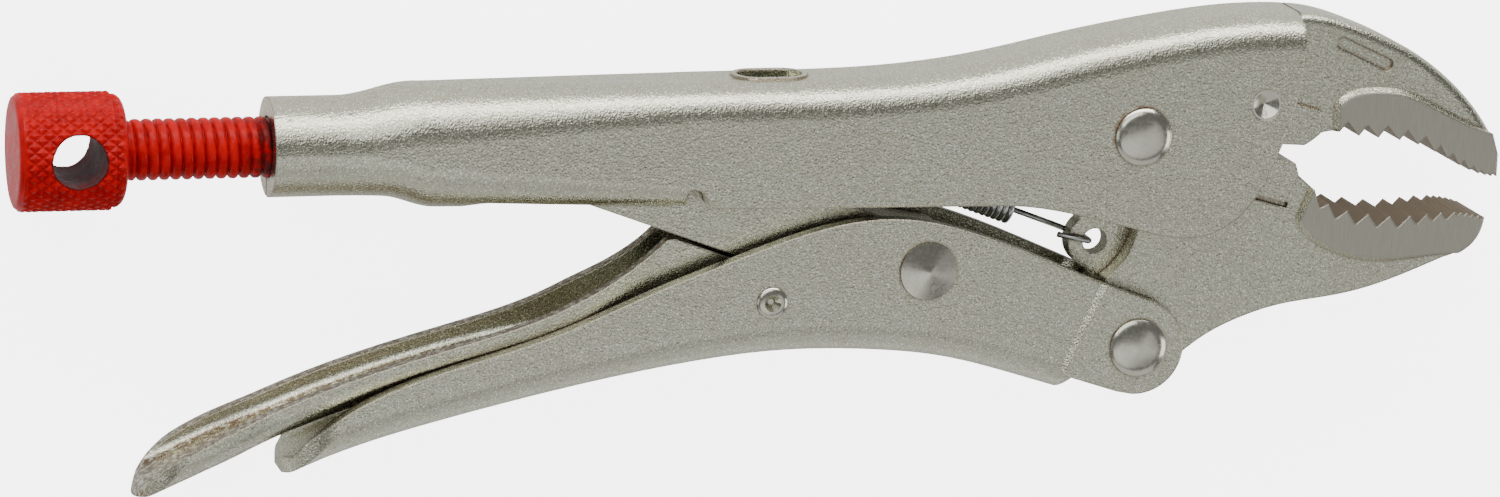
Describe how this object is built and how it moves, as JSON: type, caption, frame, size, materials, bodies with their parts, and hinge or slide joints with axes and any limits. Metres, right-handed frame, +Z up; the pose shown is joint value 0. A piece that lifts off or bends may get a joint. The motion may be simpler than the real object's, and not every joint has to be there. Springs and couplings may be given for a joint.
{
  "type": "locking pliers",
  "caption": "Locking pliers with curved toothed jaws, pressed steel handles, a toggle link, a release lever and a red adjusting screw.",
  "frame": {"origin": "centre of the tool's outline on the bench, with the tool lying on its side on its rivet heads", "axes": "+X along the adjusting screw towards the jaws, +Y towards the fixed handle, +Z up through the thickness"},
  "size_m": [0.2456, 0.0752, 0.0227],
  "materials": {
    "blasted_nickel": "shot-blasted sheet steel with satin nickel plating",
    "forged_nickel": "forged steel, blasted and nickel plated, with ground tooth blocks",
    "bright_rivet": "smooth nickel-plated rivet steel",
    "red_lacquer": "glossy red lacquer",
    "spring_wire": "drawn spring wire, dark bright"
  },
  "bodies": {
    "fixed_body": {"fixed_handle": "blasted_nickel", "fixed_jaw": "forged_nickel", "fixed_jaw_pin": "bright_rivet", "jaw_pivot_rivet": "bright_rivet", "return_spring": "spring_wire"},
    "jaw_body": {"moving_jaw": "forged_nickel"},
    "lever_body": {"lever_handle": "blasted_nickel", "lever_pivot_rivet": "bright_rivet", "toggle_rivet": "bright_rivet", "release_pin": "bright_rivet"},
    "link_body": {"toggle_link": "blasted_nickel"},
    "release_body": {"release_lever": "blasted_nickel"},
    "screw_body": {"adjusting_screw": "red_lacquer"},
    "knob_body": {"screw_knob": "red_lacquer"}
  },
  "joints": [
    {"name": "jaw_pivot", "type": "hinge", "parent": "fixed_body", "child": "jaw_body", "pos_m": [0.05919, 0.01839, 0.01145], "axis": [0, 0, 1], "range_deg": [-13.7, 0], "deforming": ["return_spring"]},
    {"name": "lever_pivot", "type": "hinge", "parent": "jaw_body", "child": "lever_body", "pos_m": [0.05999, -0.01671, 0.01145], "axis": [0, 0, 1], "range_deg": [0, 48.7]},
    {"name": "toggle_pivot", "type": "hinge", "parent": "lever_body", "child": "link_body", "pos_m": [0.02359, -0.00271, 0.01145], "axis": [0, 0, 1], "range_deg": [-54.05, 0]},
    {"name": "release_pivot", "type": "hinge", "parent": "lever_body", "child": "release_body", "pos_m": [-0.00231, -0.00721, 0.01145], "axis": [0, 0, 1], "range_deg": [0, 2.2]},
    {"name": "screw_travel", "type": "slide", "parent": "fixed_body", "child": "screw_body", "axis": [1, 0, 0], "range_m": [-0.0162, 0]},
    {"name": "knob_turn", "type": "hinge", "parent": "screw_body", "child": "knob_body", "pos_m": [-0.11351, 0.01799, 0.01145], "axis": [1, 0, 0], "range_deg": [-3240, 0]}
  ],
  "couplings": [
    {"joint": "jaw_pivot", "follows": "lever_pivot", "ratio": -0.2813},
    {"joint": "toggle_pivot", "follows": "lever_pivot", "ratio": -1.1097},
    {"joint": "knob_turn", "follows": "screw_travel", "rad_per_m": 3490.7}
  ]
}
